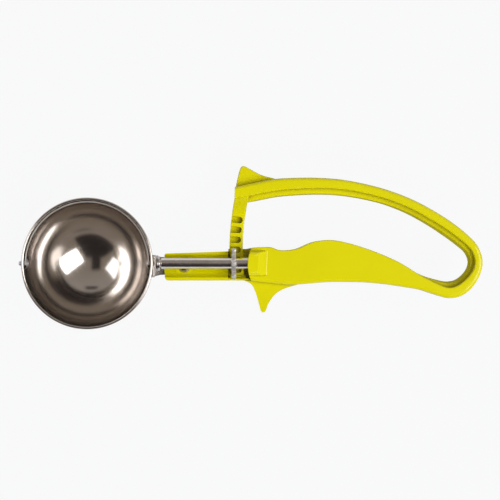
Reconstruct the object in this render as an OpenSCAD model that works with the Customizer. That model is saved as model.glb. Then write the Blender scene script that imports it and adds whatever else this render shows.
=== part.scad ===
// Lever ice cream scoop with a one-piece squeeze handle.
// Built on the shaft axis: X runs from the bowl to the handle, Y across the
// handle towards the squeeze arm, Z out of the bowl's mouth, bowl centre at 0.
// Every node is then moved so that the origin is at the bottom centre of the box.

/* [Bowl] */
// Inside radius of the hemispherical bowl
bowl_r = 26.7; // [24:0.1:30]
// Sheet thickness of the bowl
bowl_wall = 0.7; // [0.5:0.1:1.2]
// Height of the straight rim above the shaft axis
rim_h = 3.2; // [3:0.1:5]
// How far the rolled edge stands out from the wall
rim_roll = 0.4; // [0.2:0.1:0.8]
// Height of the rolled edge
rim_roll_h = 1.2; // [0.8:0.1:1.6]

/* [Sweep blade] */
// Width of the blade strip
blade_w = 6; // [4:0.1:6.2]
// Thickness of the blade strip
blade_t = 0.6; // [0.4:0.1:0.9]
// Gap between the blade and the bowl
blade_gap = 0.3; // [0.2:0.05:0.5]
// Angle of the blade below the rim plane at rest
blade_rest = 5; // [3:0.5:10]

/* [Front pivot] */
// Radius of the pivot pin at the far side of the bowl
pivot_r = 1.05; // [0.8:0.05:1.3]
// How far the pin stands out of the bowl
pivot_tail = 1.8; // [1:0.1:3]
// Radius of the pin's domed head inside the bowl
pivot_head_r = 2.1; // [1.6:0.1:2.6]
// Height of the pin's head
pivot_head_h = 0.8; // [0.5:0.1:1.2]

/* [Shaft] */
// Radius of the drive shaft
shaft_r = 2.3; // [1.9:0.05:2.6]
// Radius of the neck that goes through the bowl
neck_r = 1.5; // [1.2:0.05:1.7]
// Radius of the riveted button at the neck's end
button_r = 2.4; // [2:0.1:2.8]
// Height of the riveted button
button_h = 0.8; // [0.5:0.1:1.2]
// Length of shaft inside the handle's socket
shaft_seat = 5.6; // [4:0.1:6]
// End play of the shaft
end_play = 0.3; // [0.2:0.05:0.5]
// Radial clearance of turning fits
run_gap = 0.05; // [0.02:0.01:0.09]

/* [Neck bush and washer] */
// Wall of the bush's sleeve
bush_wall = 1.0; // [0.7:0.1:1.3]
// Radius of the bush's flange
bush_flange_r = 3.4; // [3:0.1:3.9]
// Thickness of the bush's flange
bush_flange_t = 0.9; // [0.6:0.1:1.2]
// Radius of the thrust washer
washer_r = 3.1; // [2.6:0.1:3.4]
// Thickness of the thrust washer
washer_t = 0.6; // [0.4:0.1:0.9]

/* [Pinion and rack] */
// Number of teeth on the pinion
pinion_teeth = 8; // [8:1:8]
// Pitch radius of the pinion
pitch_r = 5.5; // [5.3:0.05:5.7]
// Height of the pinion's teeth beyond the pitch circle
addendum = 1.1; // [0.8:0.05:1.2]
// Depth of the pinion's tooth gaps below the pitch circle
dedendum = 0.9; // [0.7:0.05:1.1]
// Tooth thickness on the pitch circle
tooth_t = 2.1; // [1.8:0.05:2.2]
// Thickness of the pinion plate
pinion_w = 1.8; // [1.4:0.1:2.2]
// Distance from the bowl's centre to the middle of the pinion
pinion_x = 61.9; // [61.2:0.1:62.4]
// Number of notches in the rack
rack_notches = 6; // [6:1:6]
// Height of a notch
notch_h = 2.75; // [2.6:0.05:2.9]
// Length of a notch along the shaft
notch_w = 4.9; // [4.6:0.1:5.1]
// Depth of a notch
notch_depth = 2.6; // [1.6:0.1:3]
// Width of the rack bar
rack_w = 5.7; // [5.4:0.1:6]
// Thickness of the rack bar
rack_t = 4.5; // [4:0.1:4.8]
// Height at rest of the notch that the lower tooth is in
rack_phase = 1.45; // [1.2:0.05:1.7]

/* [Handle] */
// Distance from the bowl's centre to the end of the handle's bend
handle_end = 167.1; // [160:0.1:176]
// Front face of the handle, above the shaft axis
handle_front = 2; // [1.5:0.1:2.5]
// Back face of the handle, below the shaft axis
handle_back = 13; // [12.6:0.1:14]
// How far the inner rib of the loop is set back from each face
rib_setback = 4; // [3:0.1:5]
// Distance from the handle's end to the point about which the loop bends
flex_inset = 4.6; // [4.4:0.1:4.8]
// Height of the point about which the loop bends
flex_y = 6; // [5.8:0.1:6.2]
// Thickness of the finger and hand guards
guard_t = 7; // [5:0.5:9]
// Width of the ridge over the shaft's end
ridge_w = 10.2; // [9:0.1:10.6]
// Height of the ridge above the shaft axis
ridge_h = 4.8; // [4.2:0.1:5.2]
// Rounding of the ridge's long edges
ridge_r = 1.8; // [1.2:0.1:2.4]
// Length of the ridge before it slopes down
ridge_l = 4.5; // [4:0.1:5]
// Length of the ridge's slope
ridge_slope = 3.6; // [3:0.1:4.5]
// Distance from the middle of the pinion to the handle's rounded nose
nose_gap = 5.8; // [5.6:0.1:6.2]
// Radius of the nose seen from the front
nose_r = 16.8; // [15:0.1:20]

/* [Cradle] */
// Distance from the bowl's centre to the cradle's end
cradle_x = 32.1; // [31.8:0.1:32.6]
// Lower edge of the cradle, below the shaft axis
cradle_low = 7.3; // [7.1:0.1:7.6]
// Upper edge of the cradle at its bowl end
cradle_top_end = 4.2; // [4:0.1:4.6]
// Upper edge of the cradle at the rack
cradle_top_rack = 5.1; // [4.8:0.1:5.4]
// Front edge of the cradle's walls, below the shaft axis
cradle_lip = 2.5; // [2.4:0.1:3]
// Middle of the cradle across the handle
cradle_mid = -1.15; // [-1.3:0.05:-1]
// Height of the pocket's back wall behind the rack
pocket_top = 6.1; // [5.8:0.1:6.3]
// Depth of the lip in front of the rack's lower end
rack_lip = 1.4; // [1.2:0.1:1.6]
// Radius of the groove under the shaft
groove_r = 5.5; // [5.4:0.1:5.8]
// Depth of the groove's bottom below the shaft axis
groove_depth = 5.4; // [5.2:0.1:5.6]
// Radius of the raised boss under the rivet's head
boss_r = 4.2; // [3.6:0.1:4.4]
// Height of the raised boss
boss_h = 0.8; // [0.5:0.1:1]
// Gap round the rack in its slot
rack_gap = 0.4; // [0.3:0.05:0.6]

/* [Bowl bracket] */
// Width of the bracket's tang
tang_w = 7.4; // [6:0.1:7.6]
// Thickness of the bracket
tang_t = 1.5; // [1:0.1:1.8]
// Front face of the tang, below the shaft axis
tang_front = 8.5; // [8.3:0.1:9]
// Distance from the bowl's centre to the tang's end
tang_end = 51; // [48:0.5:54]
// Width of the bracket where it holds the bowl
saddle_w = 9.4; // [8.6:0.1:10]
// Height of the bracket above the shaft axis
saddle_top = 2.8; // [2.6:0.1:3.1]
// Distance from the bowl's centre to the rivet
rivet_x = 40.7; // [40:0.1:44]
// Radius of the rivet's shank
rivet_r = 1.5; // [1.2:0.05:1.8]
// Radius of the rivet's domed head
rivet_head_r = 2.9; // [2.5:0.1:3]
// Height of the rivet's domed head
rivet_head_h = 1.4; // [1.2:0.1:1.6]
// Radius of the burr washer on the rivet's tail
burr_r = 3; // [2.6:0.1:3.4]
// Thickness of the burr washer
burr_t = 0.7; // [0.5:0.1:0.9]
// Depth of the recess for the rivet's tail
tail_recess = 1.4; // [1.3:0.1:1.6]

/* [Hidden] */

eps = 0.01;                                  // overlap of shapes that are joined
over = 1;                                    // how far a cutter reaches past what it cuts
fit = 0.02;                                  // gap of parts that are pressed together
weld_gap = 0.08;                             // gap of parts that are spot-welded
bowl_out = bowl_r + bowl_wall;
blade_out = bowl_r - blade_gap;
blade_in = blade_out - blade_t;
saddle_in = bowl_out + weld_gap;
saddle_out = saddle_in + tang_t;
bush_r = neck_r + run_gap + bush_wall;
washer_x = saddle_out + bush_flange_t + weld_gap;
shoulder_x = washer_x + washer_t + end_play;
nose_x = pinion_x + nose_gap;
shaft_end = nose_x + shaft_seat;
pinion_root = pitch_r - dedendum;
gear_room = pitch_r + addendum + 0.35;       // radius kept clear round the pinion
tang_back = tang_front + tang_t;
slot_gap = 0.1;                              // gap round the tang in the cradle
groove_z = groove_r - groove_depth;
boss_top = boss_h - groove_depth;
tail_z = tail_recess - burr_t - fit - handle_back;
nose_mid_x = nose_x + nose_r;
nose_mid_y = -0.6;

// The rack swings about the flex point, so it is an arc round that point.
flex_x = handle_end - flex_inset;
rack_lead = 2;                               // from its bowl-side edge to the pinion's middle
rack_out = flex_x - pinion_x + rack_lead;
rack_in = rack_out - rack_w;
rack_front = pitch_r;                        // the rack's face lies on the pitch line
rack_back = rack_front + rack_t;
rack_slot_x = pinion_x - rack_lead - rack_gap - 0.1;
pocket_floor = -(rack_back + rack_gap);
mesh_slope = atan(flex_y / (flex_x - pinion_x));
mesh_arm = (flex_x - pinion_x) / pow(cos(mesh_slope), 2);
pitch = 2 * PI * pitch_r / pinion_teeth;
notch_step = pitch / mesh_arm * 180 / PI;    // angle from one notch to the next
rack_end = -5.5;                             // lower end of the rack
rack_top = 28;                               // where the rack has run into the arm
gusset_low = 21.5;                           // foot of the gusset under the arm
gusset_front = handle_front - 0.8;
gusset_back = -handle_back + 0.8;

// Stations of the loop from the arm's free end, round the bend, to the nose:
// [x, y of the outer edge, angle of the cross-section, band thickness, rib width]
SHAPE = [[62.3, 32.3, 268, 5.0, 2.4], [70.5, 34.1, 281, 5.0, 2.6], [79.0, 35.7, 276, 5.0, 2.6],
         [88.0, 36.2, 272, 4.7, 2.6], [97.5, 36.2, 268, 4.4, 2.6], [107.0, 35.5, 263, 4.1, 2.6],
         [117.0, 33.7, 257, 3.9, 2.5], [127.0, 31.0, 252, 3.8, 2.3], [137.0, 27.2, 247, 3.8, 2.1],
         [146.0, 22.5, 241, 3.9, 1.8], [153.9, 17.5, 235, 3.8, 1.7], [160.8, 12.0, 225, 3.6, 1.6],
         [165.2, 7.0, 208, 3.3, 1.5], [167.1, 0.8, 180, 3.3, 1.4], [165.9, -5.0, 158, 3.7, 1.2],
         [162.6, -10.3, 136, 4.5, 1.1], [158.0, -13.8, 110, 4.7, 1.4], [152.5, -14.7, 90, 4.5, 1.8],
         [146.5, -13.1, 84, 4.9, 1.3], [140.5, -11.2, 90, 6.3, 0.5], [133.0, -9.9, 90, 9.7, 0],
         [125.4, -8.8, 90, 12.2, 0], [117.8, -8.1, 90, 14.4, 0], [110.2, -7.9, 90, 16.5, 0],
         [102.6, -7.9, 90, 17.8, 0], [95.0, -8.4, 90, 17.4, 0], [88.0, -9.0, 90, 15.1, 0],
         [81.5, -8.7, 90, 14.3, 0], [77.8, -8.3, 90, 15.1, 0], [73.5, -7.9, 90, 14.8, 0],
         [70.0, -7.5, 90, 14.2, 0]];
// A longer or shorter handle moves the stations behind the palm
palm = [95, 140];                            // x at which the move begins, and is complete
LOOP = [for (s = SHAPE) concat(s[0] + (handle_end - SHAPE[13][0]) * share(s[0]),
                               [for (i = [1 : 4]) s[i]])];
arm_end = 12;                                // station where the arm meets the bend
bend_end = 19;                               // station where the bend meets the grip
per_station = 3;                             // sections made between two stations

// Sideways guard outlines: a spline through these points, closed along the band
UPPER_GUARD = [[62.4, 31.0], [63.2, 35.2], [64.6, 40.3], [66.1, 41.3], [68.6, 40.1], [73.6, 37.5],
               [79.6, 35.8]];
LOWER_GUARD = [[89.0, -9.0], [83.0, -10.9], [79.2, -13.4], [76.6, -17.0], [75.3, -20.2],
               [74.2, -20.8], [73.2, -19.9], [71.8, -14.6], [69.8, -9.6], [67.4, -7.8], [64.8, -6.9]];

x_left = -(bowl_out + pivot_tail);
x_right = handle_end;
y_top = UPPER_GUARD[3][1];
y_low = -(bowl_out + rim_roll);
box_mid = [(x_left + x_right) / 2, (y_top + y_low) / 2, -bowl_out];

steel = "silver";
plastic = [0.87, 0.85, 0.02];

$fn = 64;

// How much of a change of length a point at x takes part in
function share(x) = min(1, max(0, (x - palm[0]) / (palm[1] - palm[0])));

// Catmull-Rom value of list P at position u, counted in stations
function at(P, u) =
    let (n = len(P) - 1, i = min(floor(u), n - 1), t = u - i,
         a = P[max(i - 1, 0)], b = P[i], c = P[i + 1], d = P[min(i + 2, n)])
    0.5 * (2 * b + t * (c - a) + t * t * (2 * a - 5 * b + 4 * c - d)
           + t * t * t * (3 * b - a - 3 * c + d));

function curve(P, steps) = [for (i = [0 : (len(P) - 1) * steps]) at(P, i / steps)];

// Point at a depth below the outer edge of the loop, at position u
function inward(u, depth) =
    let (s = at(LOOP, u))
    [s[0] + depth * cos(s[2]), s[1] + depth * sin(s[2])];

function band(u) = at(LOOP, u)[3];
function rib(u) = at(LOOP, u)[3] + at(LOOP, u)[4];

// Outline of the loop between two stations, from its outer edge to a depth
module loop_outline(first, last, rib_too) {
    stations = [for (i = [first * per_station : last * per_station]) i / per_station];
    n = len(stations);
    polygon(concat([for (u = stations) inward(u, 0)],
                   [for (i = [n - 1 : -1 : 0]) let (u = stations[i])
                    inward(u, rib_too ? rib(u) : band(u))]));
}

// The loop between two stations: a wide band with a narrower rib along its inside
module loop_part(first, last) {
    plate(-handle_back, handle_front) loop_outline(first, last, false);
    plate(-handle_back + rib_setback, handle_front - rib_setback)
        loop_outline(first, last, true);
}

module place() {
    translate(-box_mid) children();
}

// A round bar along X from x0 to x1
module bar_x(r, x0, x1) {
    translate([x0, 0, 0]) rotate([0, 90, 0]) cylinder(r = r, h = x1 - x0);
}

// A flat plate with an XY outline, between two heights
module plate(z0, z1) {
    translate([0, 0, z0]) linear_extrude(z1 - z0) children();
}

// A low dome on the XY plane
module dome(r, h) {
    ball = (r * r + h * h) / (2 * h);
    intersection() {
        translate([0, 0, h - ball]) sphere(ball);
        cylinder(r = r, h = h);
    }
}

module bowl() {
    color(steel) place() difference() {
        union() {
            sphere(bowl_out);
            cylinder(r = bowl_out, h = rim_h);
            translate([0, 0, rim_h - rim_roll_h / 2]) rotate_extrude()
                translate([bowl_out + rim_roll - rim_roll_h / 2, 0]) circle(rim_roll_h / 2);
        }
        sphere(bowl_r);
        cylinder(r = bowl_r, h = bowl_out);
        translate([0, 0, rim_h]) cylinder(r = bowl_out + rim_roll + over, h = bowl_out);
        bar_x(pivot_r + run_gap, -bowl_out - over, 0);
        bar_x(bush_r + fit, 0, bowl_out + over);
    }
}

// Formed steel strap: a saddle on the bowl's back, relieved for the rolled edge,
// and a tang into the cradle
module bowl_bracket() {
    color(steel) place() difference() {
        union() {
            intersection() {
                union() {
                    sphere(saddle_out);
                    cylinder(r = saddle_out, h = bowl_out);
                }
                translate([0, cradle_mid - saddle_w / 2, -tang_back])
                    cube([saddle_out, saddle_w, tang_back + saddle_top]);
            }
            plate(-tang_back, -tang_front) tang_outline();
        }
        sphere(saddle_in);
        cylinder(r = saddle_in, h = bowl_out);
        translate([0, 0, rim_h - rim_roll_h - weld_gap])
            cylinder(r = saddle_in + rim_roll, h = bowl_out);
        bar_x(bush_r + fit, 0, saddle_out + over);
        translate([rivet_x, cradle_mid, -tang_back - over])
            cylinder(r = rivet_r + fit, h = tang_t + 2 * over);
    }
}

module tang_outline() {
    root_x = saddle_out - 3;
    corner_r = 1;
    side = tang_w / 2 - corner_r;
    translate([root_x, cradle_mid - tang_w / 2])
        square([tang_end - root_x - corner_r, tang_w]);
    translate([tang_end - corner_r - eps, cradle_mid - side])
        square([corner_r + eps, 2 * side]);
    for (y = [-side, side])
        translate([tang_end - corner_r, cradle_mid + y]) circle(corner_r);
}

// Flanged bush that carries the neck in the bowl's wall
module neck_bush() {
    color(steel) place() difference() {
        union() {
            bar_x(bush_r, bowl_r + bowl_wall / 6, saddle_out + bush_flange_t / 2);
            bar_x(bush_flange_r, saddle_out + fit, saddle_out + bush_flange_t);
        }
        bar_x(neck_r + run_gap, 0, shoulder_x);
    }
}

module thrust_washer() {
    color(steel) place() difference() {
        bar_x(washer_r, washer_x, washer_x + washer_t);
        bar_x(neck_r + run_gap, 0, shoulder_x);
    }
}

// Rivet through the cradle and the tang, with its domed head under the shaft
module cradle_rivet() {
    tail_r = rivet_r * 1.4;
    tail_h = 0.5;
    head_lap = 0.3;
    color(steel) place() translate([rivet_x, cradle_mid, 0]) {
        translate([0, 0, boss_top + fit]) dome(rivet_head_r, rivet_head_h);
        translate([0, 0, tail_z - 0.1]) cylinder(r = rivet_r, h = boss_top + head_lap - tail_z);
        translate([0, 0, tail_z - fit]) mirror([0, 0, 1]) dome(tail_r, tail_h);
    }
}

module burr_washer() {
    color(steel) place() translate([rivet_x, cradle_mid, tail_z]) difference() {
        cylinder(r = burr_r, h = burr_t);
        translate([0, 0, -over]) cylinder(r = rivet_r + fit, h = burr_t + 2 * over);
    }
}

module drive_shaft() {
    chamfer = 0.4;
    seat_x = sqrt(blade_in * blade_in - button_r * button_r) - fit;
    color(steel) place() {
        rotate([0, 90, 0]) rotate_extrude() polygon([
            [0, seat_x - button_h], [button_r * 0.7, seat_x - button_h],
            [button_r, seat_x - button_h / 2], [button_r, seat_x],
            [neck_r, seat_x], [neck_r, shoulder_x], [shaft_r - chamfer, shoulder_x],
            [shaft_r, shoulder_x + chamfer], [shaft_r, shaft_end - chamfer],
            [shaft_r - chamfer, shaft_end], [0, shaft_end]]);
    }
}

// Roll angle, in radians, of an involute of the pitch circle at radius r
function roll(r) = sqrt(max(0, pow(r / pitch_r, 2) - 1));

// One tooth seen along the shaft, pointing along +x, as polar points
module tooth() {
    half = tooth_t / 2 / pitch_r * 180 / PI;
    foot = pinion_root - 1;
    flank = [for (i = [0 : 5]) let (r = pitch_r + addendum * i / 5, a = roll(r))
             [r, half - (a * 180 / PI - atan(a))]];
    right = [for (p = flank) p[0] * [cos(p[1]), -sin(p[1])]];
    left = [for (i = [5 : -1 : 0]) let (p = flank[i]) p[0] * [cos(p[1]), sin(p[1])]];
    polygon(concat([foot * [1, -sin(half)], pinion_root * [cos(half), -sin(half)]], right,
                   left, [pinion_root * [cos(half), sin(half)], foot * [1, sin(half)]]));
}

module pinion() {
    turn = rack_phase / pitch_r * 180 / PI;
    color(steel) place() translate([pinion_x - pinion_w / 2, 0, 0]) rotate([turn, 0, 0])
        rotate([0, 90, 0]) linear_extrude(pinion_w) difference() {
            union() {
                circle(pinion_root);
                for (i = [0 : pinion_teeth - 1]) rotate(i * 360 / pinion_teeth) tooth();
            }
            circle(shaft_r + fit);
        }
}

// The blade is a strip of a spherical shell with a round eye at each end
module sweep_blade() {
    color(steel) place() rotate([-blade_rest, 0, 0]) difference() {
        intersection() {
            difference() {
                sphere(blade_out);
                sphere(blade_in);
            }
            union() {
                translate([-blade_out, 0, -blade_w / 2]) cube([2 * blade_out, blade_out, blade_w]);
                bar_x(blade_w / 2, -blade_out, blade_out);
            }
        }
        bar_x(pivot_r + fit, -blade_out - over, 0);
        bar_x(neck_r + fit, 0, blade_out + over);
    }
}

module pivot_pin() {
    head_x = fit - sqrt(blade_in * blade_in - pivot_head_r * pivot_head_r);
    color(steel) place() {
        bar_x(pivot_r, -bowl_out - pivot_tail, head_x + eps);
        translate([head_x, 0, 0]) rotate([0, 90, 0]) dome(pivot_head_r, pivot_head_h);
    }
}

// Points of an arc round x, y
function arc(x, y, r, from, to) =
    [for (i = [0 : 6]) let (a = from + (to - from) * i / 6) [x + r * cos(a), y + r * sin(a)]];

// Outline of the cradle from its end into the handle
module cradle_outline() {
    top_r = 1.1;
    low_r = 1.6;
    lean = 0.2;                              // how far the end leans back at its corners
    inside_x = nose_x + 4;
    polygon(concat(
        arc(cradle_x + lean + top_r, cradle_top_end - top_r, top_r, 180, 93),
        [[rack_slot_x, cradle_top_rack], [rack_slot_x, pocket_top], [inside_x, pocket_top],
         [inside_x, -cradle_low]],
        arc(cradle_x + 2 * lean + low_r, -cradle_low + low_r, low_r, 270, 192),
        [[cradle_x, -cradle_low / 3]]));
}

// Cross-section of the cradle, with its long back edges rounded
module cradle_section() {
    round_r = 2.5;
    wide = pocket_top + cradle_low;
    translate([round_r - cradle_low, -handle_back]) square([wide - 2 * round_r, handle_back]);
    translate([-cradle_low, round_r - handle_back]) square([wide, handle_back - round_r]);
    for (y = [round_r - cradle_low, pocket_top - round_r])
        translate([y, round_r - handle_back]) circle(round_r);
}

// The cradle under the shaft, with its groove and the boss for the rivet
module cradle() {
    difference() {
        intersection() {
            plate(-handle_back, -cradle_lip) cradle_outline();
            translate([cradle_x - over, 0, 0]) rotate([90, 0, 90])
                linear_extrude(nose_x - cradle_x + 10) cradle_section();
        }
        translate([0, cradle_mid, groove_z])
            bar_x(groove_r, cradle_x - over, rack_slot_x + over);
    }
    translate([rivet_x, cradle_mid, -tang_front]) cylinder(r = boss_r, h = tang_front + boss_top);
}

// Slot for the tang, with the rivet's hole and the recess for its tail
module tang_slot() {
    translate([cradle_x - over, cradle_mid - tang_w / 2 - slot_gap, -tang_back - slot_gap])
        cube([tang_end - cradle_x + over + slot_gap, tang_w + 2 * slot_gap,
              tang_t + 2 * slot_gap]);
    translate([rivet_x, cradle_mid, -handle_back - over]) {
        cylinder(r = rivet_r + fit, h = handle_back);
        cylinder(r = burr_r + 0.4, h = over + tail_recess);
    }
}

// Band of an arc round the flex point
module flex_arc(r_in, r_out) {
    translate([flex_x, flex_y]) difference() {
        circle(r = r_out, $fn = 256);
        circle(r = r_in, $fn = 256);
    }
}

// The arc swept by the rack, through the cradle's lower wall behind its lip
module rack_slot() {
    reach = 12;
    difference() {
        plate(pocket_floor, 0) intersection() {
            flex_arc(rack_in - rack_gap, rack_out + rack_gap);
            translate([rack_slot_x - over, -reach]) square([reach, 2 * reach]);
        }
        translate([rack_slot_x - 2 * over, rack_lip - reach - cradle_low, rack_gap - rack_front])
            cube([reach + 4, reach, handle_back]);
    }
}

// Everything in front of the handle's rounded nose, down to the pocket's back wall
module nose_cut() {
    above = ridge_h + 5;
    lip_y = rack_lip - cradle_low;
    wide = nose_mid_x - rack_slot_x;
    difference() {
        union() {
            plate(pocket_floor, above) polygon([
                [rack_slot_x, lip_y], [nose_x - 1, lip_y], [nose_x + 1.6, -cradle_low],
                [nose_mid_x, -cradle_low], [nose_mid_x, wide / 2], [rack_slot_x, wide / 2]]);
            plate(-cradle_lip, above) translate([rack_slot_x, -cradle_low - 0.2])
                square([wide, wide]);
        }
        translate([nose_mid_x, nose_mid_y, -handle_back - over])
            cylinder(r = nose_r, h = handle_back + above + 2 * over, $fn = 128);
    }
}

// Ridge over the shaft's end, with a slope down to the handle's face
module ridge() {
    slope_l = 20;
    difference() {
        translate([nose_x - over, 0, 0]) rotate([90, 0, 90])
            linear_extrude(over + ridge_l + 1.5 * ridge_slope) ridge_section();
        translate([nose_x + ridge_l, -slope_l / 2, ridge_h])
            rotate([0, atan((ridge_h - handle_front) / ridge_slope), 0]) cube(slope_l);
    }
}

module ridge_section() {
    side = ridge_w / 2 - ridge_r;
    foot = 2;
    translate([-ridge_w / 2, -foot]) square([ridge_w, ridge_h + foot - ridge_r]);
    translate([-side, -foot]) square([2 * side, ridge_h + foot]);
    for (y = [-side, side]) translate([y, ridge_h - ridge_r]) circle(ridge_r);
}

// The handle's face between the nose and the loop's last station
module nose() {
    last = LOOP[len(LOOP) - 1];
    inside_x = max(last[0], nose_x) + 0.6;
    low = -cradle_low + 0.15;
    top = last[1] + last[3];
    plate(-handle_back, handle_front) polygon([
        [nose_x - over, low], [inside_x, low], [inside_x, top - 0.2],
        [nose_x - over, top - 0.6]]);
}

// A guard: a thin web that stands out from the band
module guard(P) {
    mid = (handle_front - handle_back) / 2;
    plate(mid - guard_t / 2, mid + guard_t / 2) polygon(curve(P, 6));
}

module handle_grip() {
    color(plastic) place() difference() {
        union() {
            loop_part(bend_end, len(LOOP) - 1);
            cradle();
            guard(LOWER_GUARD);
            nose();
            ridge();
        }
        nose_cut();
        rack_slot();
        tang_slot();
        bar_x(gear_room, rack_slot_x, nose_x);
        bar_x(shaft_r + run_gap, nose_x - over, shaft_end + end_play);
    }
}

// The bend is the spring of the one-piece handle
module spring_bend() {
    color(plastic) place() loop_part(arm_end, bend_end);
}

// Rack bar with its notches, along an arc round the flex point
module rack() {
    first = atan((rack_phase - flex_y) / (flex_x - pinion_x));
    difference() {
        plate(-rack_back, -rack_front) intersection() {
            flex_arc(rack_in, rack_out);
            translate([flex_x - rack_out - over, rack_end])
                square([4 * rack_w, rack_top - rack_end]);
        }
        for (i = [-1 : rack_notches - 2])
            translate([flex_x, flex_y, -rack_front - notch_depth])
                rotate(-(first + i * notch_step))
                    translate([-rack_out - over, -notch_h / 2, 0]) notch();
    }
}

module notch() {
    r = notch_h / 2;
    linear_extrude(notch_depth + over) {
        square([over + notch_w - r, notch_h]);
        translate([over + notch_w - r, r]) circle(r = r);
    }
}

// Sloping gusset from the arm's front face down to the rack
module gusset() {
    inside_y = rack_top + 3.5;
    intersection() {
        plate(-handle_back, handle_front) flex_arc(rack_in, rack_out);
        translate([flex_x - rack_out - over, 0, 0]) rotate([90, 0, 90])
            linear_extrude(4 * rack_w) polygon([
                [gusset_low, -rack_front], [rack_top, gusset_front], [inside_y, gusset_front],
                [inside_y, gusset_back], [rack_top, gusset_back], [rack_top - 3, -rack_back],
                [gusset_low, -rack_back]]);
    }
}

module squeeze_arm() {
    color(plastic) place() union() {
        loop_part(0, arm_end);
        guard(UPPER_GUARD);
        rack();
        gusset();
    }
}

bowl();
bowl_bracket();
neck_bush();
thrust_washer();
cradle_rivet();
burr_washer();
drive_shaft();
pinion();
sweep_blade();
pivot_pin();
handle_grip();
spring_bend();
squeeze_arm();
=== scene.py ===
import math
import bmesh
import bpy
from mathutils import Matrix, Vector


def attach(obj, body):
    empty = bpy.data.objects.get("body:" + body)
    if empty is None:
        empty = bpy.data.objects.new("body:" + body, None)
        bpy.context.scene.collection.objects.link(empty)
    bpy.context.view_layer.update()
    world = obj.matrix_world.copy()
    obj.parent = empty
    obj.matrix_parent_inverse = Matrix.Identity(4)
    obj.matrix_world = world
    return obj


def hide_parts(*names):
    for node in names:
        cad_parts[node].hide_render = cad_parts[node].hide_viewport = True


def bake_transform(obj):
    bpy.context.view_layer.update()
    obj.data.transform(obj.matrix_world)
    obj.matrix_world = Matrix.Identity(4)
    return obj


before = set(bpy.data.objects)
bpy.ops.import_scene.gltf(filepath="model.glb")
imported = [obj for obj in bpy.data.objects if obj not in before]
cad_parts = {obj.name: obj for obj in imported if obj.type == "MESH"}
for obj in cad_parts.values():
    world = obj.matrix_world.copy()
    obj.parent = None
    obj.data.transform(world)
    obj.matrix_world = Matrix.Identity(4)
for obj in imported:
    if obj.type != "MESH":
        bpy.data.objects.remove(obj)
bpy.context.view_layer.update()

# Sizes are in millimetres on the shaft's axis, as in the part: X to the handle, Y to the arm,
# from the bowl's centre, which lies here in the row frame.
MM = 0.001
BOWL_CENTRE = Vector((-68.95, -6.75, 27.4)) * MM


# ---------------------------------------------------------------- nodes of a material

def feed(tree, socket, value):
    """Link an output into a socket, or set the socket's own value."""
    if isinstance(value, bpy.types.NodeSocket):
        tree.links.new(value, socket)
    else:
        socket.default_value = value


def maths(tree, operation, *values):
    """A Math node's result for sockets or plain numbers."""
    node = tree.nodes.new("ShaderNodeMath")
    node.operation = operation
    for socket, value in zip(node.inputs, values):
        feed(tree, socket, value)
    return node.outputs["Value"]


def ramp(tree, value, low, high, start=0.0, end=1.0, smooth=False):
    """From start to end while the value goes from low to high, and level beyond them."""
    node = tree.nodes.new("ShaderNodeMapRange")
    node.interpolation_type = "SMOOTHSTEP" if smooth else "LINEAR"
    for label, entry in (("Value", value), ("From Min", low), ("From Max", high),
                         ("To Min", start), ("To Max", end)):
        feed(tree, node.inputs[label], entry)
    return node.outputs["Result"]


def mixed(tree, factor, first, second):
    """The first colour where the factor is 0, the second where it is 1."""
    node = tree.nodes.new("ShaderNodeMix")
    node.data_type = "RGBA"
    for label, value in (("Factor", factor), ("A", first), ("B", second)):
        feed(tree, node.inputs[label], value)
    return node.outputs["Result"]


def noise(tree, vector, scale, detail):
    """Values round 0.5 that change over the surface, scale times in a metre."""
    node = tree.nodes.new("ShaderNodeTexNoise")
    for label, value in (("Vector", vector), ("Scale", scale), ("Detail", detail)):
        feed(tree, node.inputs[label], value)
    return node.outputs["Fac"]


def object_coords(tree):
    """Places on the piece itself, which stay with it when it moves."""
    return tree.nodes.new("ShaderNodeTexCoord").outputs["Object"]


def new_group(name, inputs):
    """An effect that puts out a colour, a roughness and the height of its relief."""
    tree = bpy.data.node_groups.new(name, "ShaderNodeTree")
    for label, kind, value in inputs:
        socket = tree.interface.new_socket(label, in_out="INPUT", socket_type=kind)
        socket.default_value = value
    for label, kind in (("Colour", "NodeSocketColor"), ("Roughness", "NodeSocketFloat"),
                        ("Height", "NodeSocketFloat")):
        tree.interface.new_socket(label, in_out="OUTPUT", socket_type=kind)
    given, result = tree.nodes.new("NodeGroupInput"), tree.nodes.new("NodeGroupOutput")
    return tree, given.outputs, result.inputs


def uneven(tree, given, result, relief, low, high, least, most):
    """Put out the relief, and the roughness times least to most where it is low to high."""
    spread = ramp(tree, relief, low, high, least, most)
    tree.links.new(maths(tree, "MULTIPLY", given["Roughness"], spread), result["Roughness"])
    tree.links.new(relief, result["Height"])


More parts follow.
